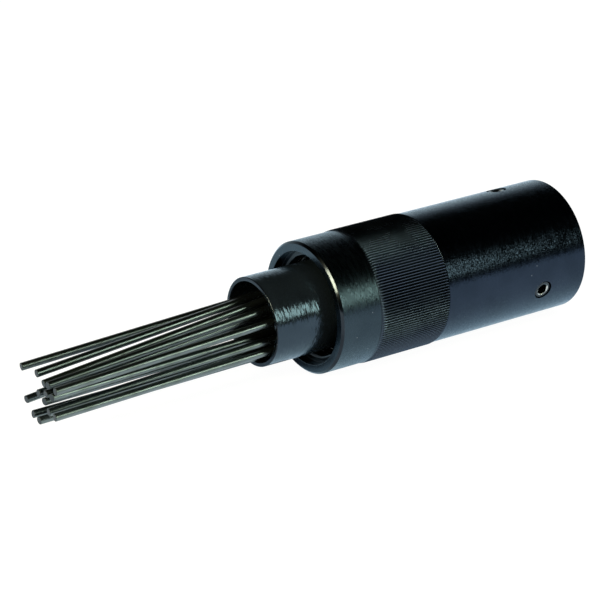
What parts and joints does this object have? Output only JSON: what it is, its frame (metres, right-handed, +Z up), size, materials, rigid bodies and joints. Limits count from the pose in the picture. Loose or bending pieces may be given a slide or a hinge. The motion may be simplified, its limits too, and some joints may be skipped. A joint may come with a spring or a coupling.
{
  "type": "needle scaler attachment",
  "caption": "Needle scaler head that clamps on an air hammer's barrel: a knurled steel sleeve with a sprung nose tube holding a bundle of loose steel needles.",
  "frame": {"origin": "centre of the hammer socket's mouth, in the plane of the rear face", "axes": "+X along the tool's axis, out of the socket's mouth; the needles point to -X; +Z up"},
  "size_m": [0.2324, 0.0526, 0.0526],
  "materials": {
    "black_oxide_steel": "blackened turned steel, satin, worn bright on the edges",
    "knurled_black_steel": "blackened steel with a straight knurl",
    "needle_steel": "dark drawn steel wire",
    "screw_steel": "black steel, worn bright round the edge",
    "spring_steel": "oiled steel wire",
    "hard_steel": "ground hardened steel",
    "guide_bronze": "turned bronze",
    "buffer_rubber": "matte black rubber"
  },
  "bodies": {
    "adapter": {"adapter_body": "black_oxide_steel", "anvil_guide": "guide_bronze", "guide_circlip": "spring_steel", "recoil_buffer": "buffer_rubber"},
    "anvil": {"anvil": "hard_steel"},
    "spring_ring": {"spring_washer": "spring_steel", "nose_spring": "spring_steel"},
    "sleeve": {"front_sleeve": "knurled_black_steel"},
    "nose": {"nose_tube": "black_oxide_steel", "needle_holder": "hard_steel", "holder_circlip": "spring_steel"},
    "set_screw_1": {"set_screw_1": "screw_steel"},
    "set_screw_2": {"set_screw_2": "screw_steel"},
    "set_screw_3": {"set_screw_3": "screw_steel"},
    "needle_01": {"needle_01": "needle_steel"},
    "needle_02": {"needle_02": "needle_steel"},
    "needle_03": {"needle_03": "needle_steel"},
    "needle_04": {"needle_04": "needle_steel"},
    "needle_05": {"needle_05": "needle_steel"},
    "needle_06": {"needle_06": "needle_steel"},
    "needle_07": {"needle_07": "needle_steel"},
    "needle_08": {"needle_08": "needle_steel"},
    "needle_09": {"needle_09": "needle_steel"},
    "needle_10": {"needle_10": "needle_steel"},
    "needle_11": {"needle_11": "needle_steel"},
    "needle_12": {"needle_12": "needle_steel"},
    "needle_13": {"needle_13": "needle_steel"},
    "needle_14": {"needle_14": "needle_steel"}
  },
  "joints": [
    {"name": "nose_slide", "type": "slide", "parent": "adapter", "child": "nose", "axis": [-1, 0, 0], "range_m": [0, 0.006], "stiffness_N_per_m": 4000, "springref_m": -0.004, "deforming": ["nose_spring"]},
    {"name": "anvil_slide", "type": "slide", "parent": "adapter", "child": "anvil", "axis": [-1, 0, 0], "range_m": [0, 0.0035]},
    {"name": "sleeve_travel", "type": "slide", "parent": "adapter", "child": "spring_ring", "axis": [-1, 0, 0], "range_m": [0, 0.006], "deforming": ["nose_spring"]},
    {"name": "sleeve_turn", "type": "hinge", "parent": "spring_ring", "child": "sleeve", "pos_m": [-0.09, 0, 0], "axis": [-1, 0, 0], "range_deg": [0, 1440]},
    {"name": "set_screw_1_drive", "type": "slide", "parent": "adapter", "child": "set_screw_1", "axis": [0, -0.2419, -0.9703], "range_m": [0, 0.003]},
    {"name": "set_screw_2_drive", "type": "slide", "parent": "adapter", "child": "set_screw_2", "axis": [0, 0.9613, 0.2756], "range_m": [0, 0.003]},
    {"name": "set_screw_3_drive", "type": "slide", "parent": "adapter", "child": "set_screw_3", "axis": [0, -0.7193, 0.6947], "range_m": [0, 0.003]},
    {"name": "needle_01_slide", "type": "slide", "parent": "nose", "child": "needle_01", "axis": [0.9984, -0.0262, 0.0498], "range_m": [0, 0.005]},
    {"name": "needle_02_slide", "type": "slide", "parent": "nose", "child": "needle_02", "axis": [0.9974, 0.0183, 0.0698], "range_m": [0, 0.005]},
    {"name": "needle_03_slide", "type": "slide", "parent": "nose", "child": "needle_03", "axis": [0.9953, 0.0052, 0.0966], "range_m": [0, 0.005]},
    {"name": "needle_04_slide", "type": "slide", "parent": "nose", "child": "needle_04", "axis": [0.9969, -0.0131, 0.0776], "range_m": [0, 0.005]},
    {"name": "needle_05_slide", "type": "slide", "parent": "nose", "child": "needle_05", "axis": [0.999, -0.0017, 0.0446], "range_m": [0, 0.005]},
    {"name": "needle_06_slide", "type": "slide", "parent": "nose", "child": "needle_06", "axis": [0.9956, -0.0557, 0.0757], "range_m": [0, 0.005]},
    {"name": "needle_07_slide", "type": "slide", "parent": "nose", "child": "needle_07", "axis": [0.9995, -0.0044, 0.0315], "range_m": [0, 0.005]},
    {"name": "needle_08_slide", "type": "slide", "parent": "nose", "child": "needle_08", "axis": [0.9974, -0.0576, 0.0445], "range_m": [0, 0.005]},
    {"name": "needle_09_slide", "type": "slide", "parent": "nose", "child": "needle_09", "axis": [0.9988, -0.0411, 0.0271], "range_m": [0, 0.005]},
    {"name": "needle_10_slide", "type": "slide", "parent": "nose", "child": "needle_10", "axis": [0.9979, 0.0628, -0.0175], "range_m": [0, 0.005]},
    {"name": "needle_11_slide", "type": "slide", "parent": "nose", "child": "needle_11", "axis": [0.998, 0.0637, 0.0044], "range_m": [0, 0.005]},
    {"name": "needle_12_slide", "type": "slide", "parent": "nose", "child": "needle_12", "axis": [0.9956, 0.0017, 0.094], "range_m": [0, 0.005]},
    {"name": "needle_13_slide", "type": "slide", "parent": "nose", "child": "needle_13", "axis": [0.9972, 0.0392, 0.0637], "range_m": [0, 0.005]},
    {"name": "needle_14_slide", "type": "slide", "parent": "nose", "child": "needle_14", "axis": [0.9991, 0.0419, -0.0026], "range_m": [0, 0.005]}
  ],
  "couplings": [
    {"joint": "sleeve_travel", "follows": "sleeve_turn", "m_per_rad": 0.00023873}
  ]
}
